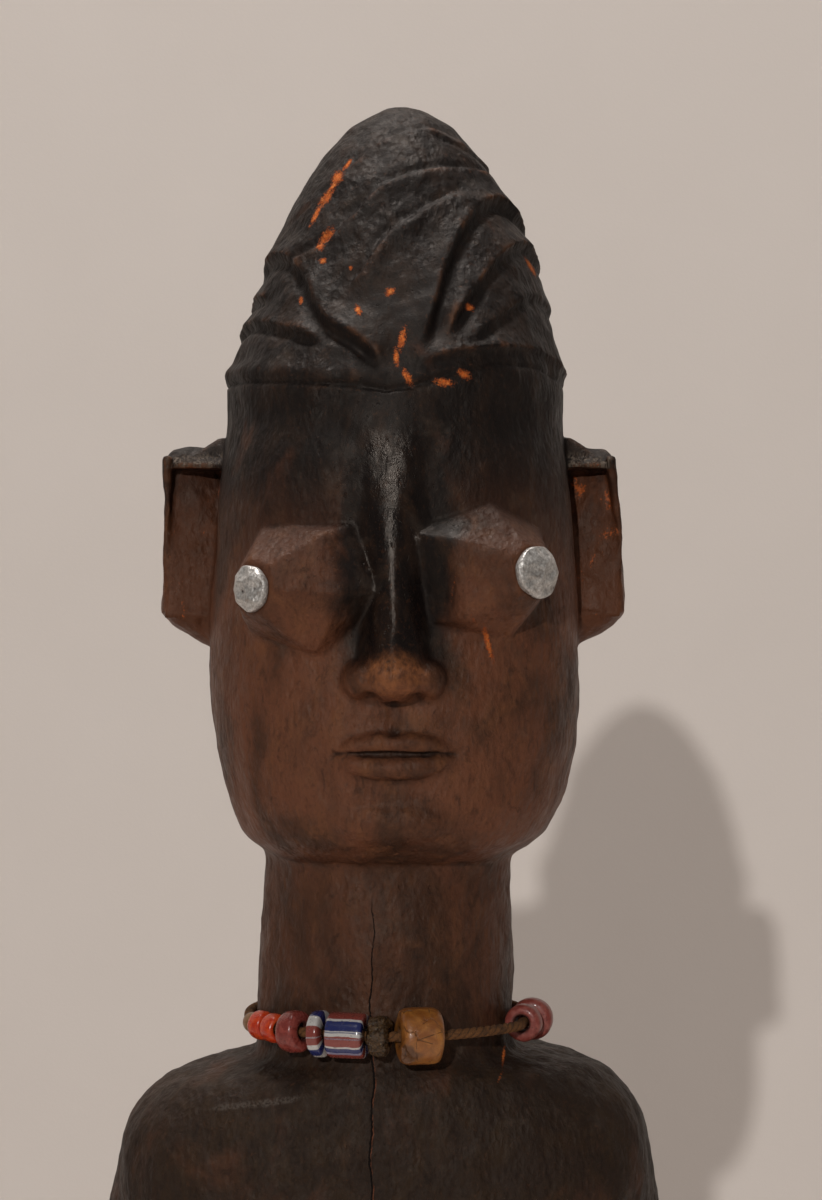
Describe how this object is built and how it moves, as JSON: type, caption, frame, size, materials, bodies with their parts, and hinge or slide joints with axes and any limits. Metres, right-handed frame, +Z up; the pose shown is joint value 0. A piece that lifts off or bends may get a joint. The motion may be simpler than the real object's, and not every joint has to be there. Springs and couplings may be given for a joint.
{
  "type": "carved ancestor figure",
  "caption": "Standing carved wooden ancestor figure on a round base, with a tall folded headdress, nail-head eyes and a beaded cord round its neck.",
  "frame": {"origin": "centre of the base's flat underside, on the vertical axis of the neck", "axes": "+Z up along the figure, -Y the way the face looks, +X to the figure's own left"},
  "size_m": [0.1314, 0.1168, 0.5999],
  "materials": {
    "wood": "dark waxed patina, satin",
    "nail_metal": "hammered, dull",
    "cord_fibre": "twisted plant fibre",
    "bead_orange": "opaque, waxy gloss",
    "bead_brick": "opaque, satin",
    "bead_striped": "opaque, glossy stripes",
    "bead_olive": "rough seed skin",
    "bead_amber": "cracked, satin",
    "bead_ivory": "worn, satin"
  },
  "bodies": {
    "figure": {"carved_figure": "wood", "left_eye_nail": "nail_metal", "right_eye_nail": "nail_metal"},
    "necklace": {"necklace_cord": "cord_fibre", "necklace_knot": "cord_fibre"},
    "ivory_bead_body": {"ivory_bead": "bead_ivory"},
    "orange_bead_rear_body": {"orange_bead_rear": "bead_orange"},
    "orange_bead_front_body": {"orange_bead_front": "bead_orange"},
    "brick_bead_right_body": {"brick_bead_right": "bead_brick"},
    "striped_ring_bead_body": {"striped_ring_bead": "bead_striped"},
    "striped_tube_bead_body": {"striped_tube_bead": "bead_striped"},
    "olive_bead_body": {"olive_bead": "bead_olive"},
    "amber_bead_body": {"amber_bead": "bead_amber"},
    "brick_bead_left_front_body": {"brick_bead_left_front": "bead_brick"},
    "brick_bead_left_rear_body": {"brick_bead_left_rear": "bead_brick"}
  },
  "joints": [
    {"name": "necklace_turn", "type": "hinge", "parent": "figure", "child": "necklace", "pos_m": [0, 0, 0.4061], "axis": [0, 0, 1], "continuous": true},
    {"name": "ivory_bead_spin", "type": "hinge", "parent": "necklace", "child": "ivory_bead_body", "pos_m": [-0.02739, -0.01493, 0.4061], "axis": [0.3404, -0.9403, 0], "continuous": true},
    {"name": "orange_bead_rear_spin", "type": "hinge", "parent": "necklace", "child": "orange_bead_rear_body", "pos_m": [-0.02533, -0.01847, 0.4061], "axis": [0.5999, -0.8001, 0], "continuous": true},
    {"name": "orange_bead_front_spin", "type": "hinge", "parent": "necklace", "child": "orange_bead_front_body", "pos_m": [-0.02251, -0.02251, 0.4061], "axis": [0.5638, -0.8259, 0], "continuous": true},
    {"name": "brick_bead_right_spin", "type": "hinge", "parent": "necklace", "child": "brick_bead_right_body", "pos_m": [-0.0183, -0.02692, 0.4061], "axis": [0.7922, -0.604, 0.0872], "continuous": true},
    {"name": "striped_ring_bead_spin", "type": "hinge", "parent": "necklace", "child": "striped_ring_bead_body", "pos_m": [-0.01295, -0.03007, 0.4061], "axis": [0.9145, -0.3985, 0.0698], "continuous": true},
    {"name": "striped_tube_bead_spin", "type": "hinge", "parent": "necklace", "child": "striped_tube_bead_body", "pos_m": [-0.00723, -0.03209, 0.4061], "axis": [0.9614, -0.275, 0], "continuous": true},
    {"name": "olive_bead_spin", "type": "hinge", "parent": "necklace", "child": "olive_bead_body", "pos_m": [-0.00082, -0.03355, 0.4061], "axis": [0.9768, -0.2141, 0], "continuous": true},
    {"name": "amber_bead_slide", "type": "hinge", "parent": "necklace", "child": "amber_bead_body", "pos_m": [0, 0, 0.4061], "axis": [0, 0, 1], "range_deg": [0, 32]},
    {"name": "brick_bead_left_front_spin", "type": "hinge", "parent": "necklace", "child": "brick_bead_left_front_body", "pos_m": [0.02923, -0.01451, 0.4061], "axis": [0.2964, 0.9551, 0], "continuous": true},
    {"name": "brick_bead_left_rear_spin", "type": "hinge", "parent": "necklace", "child": "brick_bead_left_rear_body", "pos_m": [0.03126, -0.00938, 0.4061], "axis": [0.2211, 0.9753, 0], "continuous": true}
  ]
}
